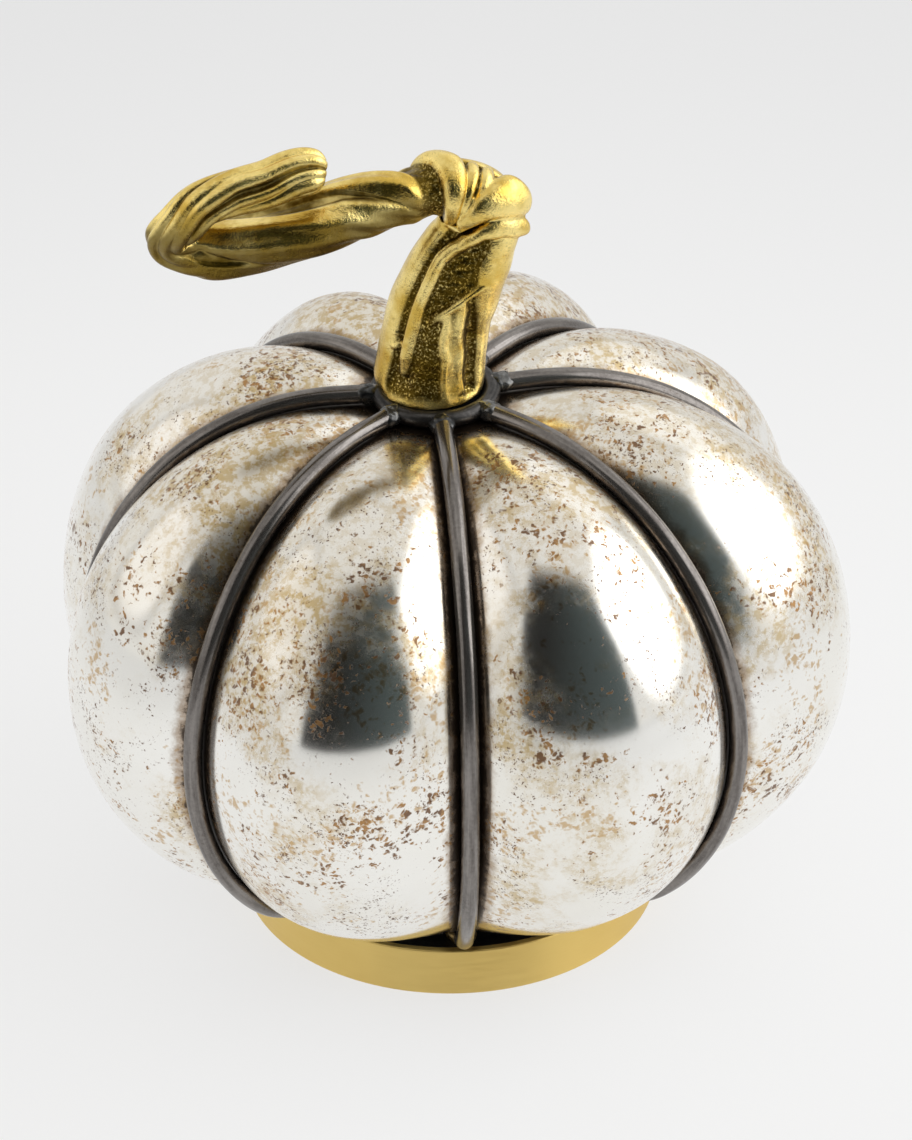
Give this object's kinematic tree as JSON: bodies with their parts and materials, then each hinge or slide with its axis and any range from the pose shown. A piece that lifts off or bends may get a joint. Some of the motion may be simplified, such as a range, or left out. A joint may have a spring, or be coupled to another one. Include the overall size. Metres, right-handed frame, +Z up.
{
  "type": "glass pumpkin ornament",
  "caption": "Free-standing pumpkin ornament: a lobed body of silvered glass blown in a cage of steel wires, with a twisted gilded stem and a round brass base band.",
  "frame": {"origin": "centre of the resting face, under the felt pad", "axes": "+Z up through the neck; -Y towards the front rib; the stem's curl points to -X"},
  "size_m": [0.1909, 0.1851, 0.2117],
  "materials": {
    "silvered_glass": "clear glass silvered inside, speckled brown and ochre",
    "wire_steel": "dark gunmetal patina, waxed",
    "weld_silver": "bright weld metal, partly darkened",
    "braze": "blackened brazing",
    "gilt_casting": "gilded casting with dark recesses",
    "satin_brass": "satin, brushed round",
    "dark_plate": "satin black",
    "zinc_steel": "zinc plated",
    "rubber": "soft black rubber",
    "felt": "dense black felt"
  },
  "bodies": {
    "root": {"rib_front": "wire_steel", "rib_front_right": "wire_steel", "rib_right": "wire_steel", "rib_back_right": "wire_steel", "rib_back": "wire_steel", "rib_back_left": "wire_steel", "rib_left": "wire_steel", "rib_front_left": "wire_steel", "collar_ring": "wire_steel", "collar_welds": "weld_silver", "foot_welds": "braze", "glass_body": "silvered_glass", "stem": "gilt_casting", "top_plate": "dark_plate", "base_plate": "dark_plate", "weld_nut": "zinc_steel", "stem_stud": "zinc_steel", "band_screws": "zinc_steel", "neck_gasket": "rubber", "silvering_plug": "rubber", "base_band": "satin_brass", "felt_pad": "felt", "glass_cushion": "felt"}
  },
  "joints": []
}
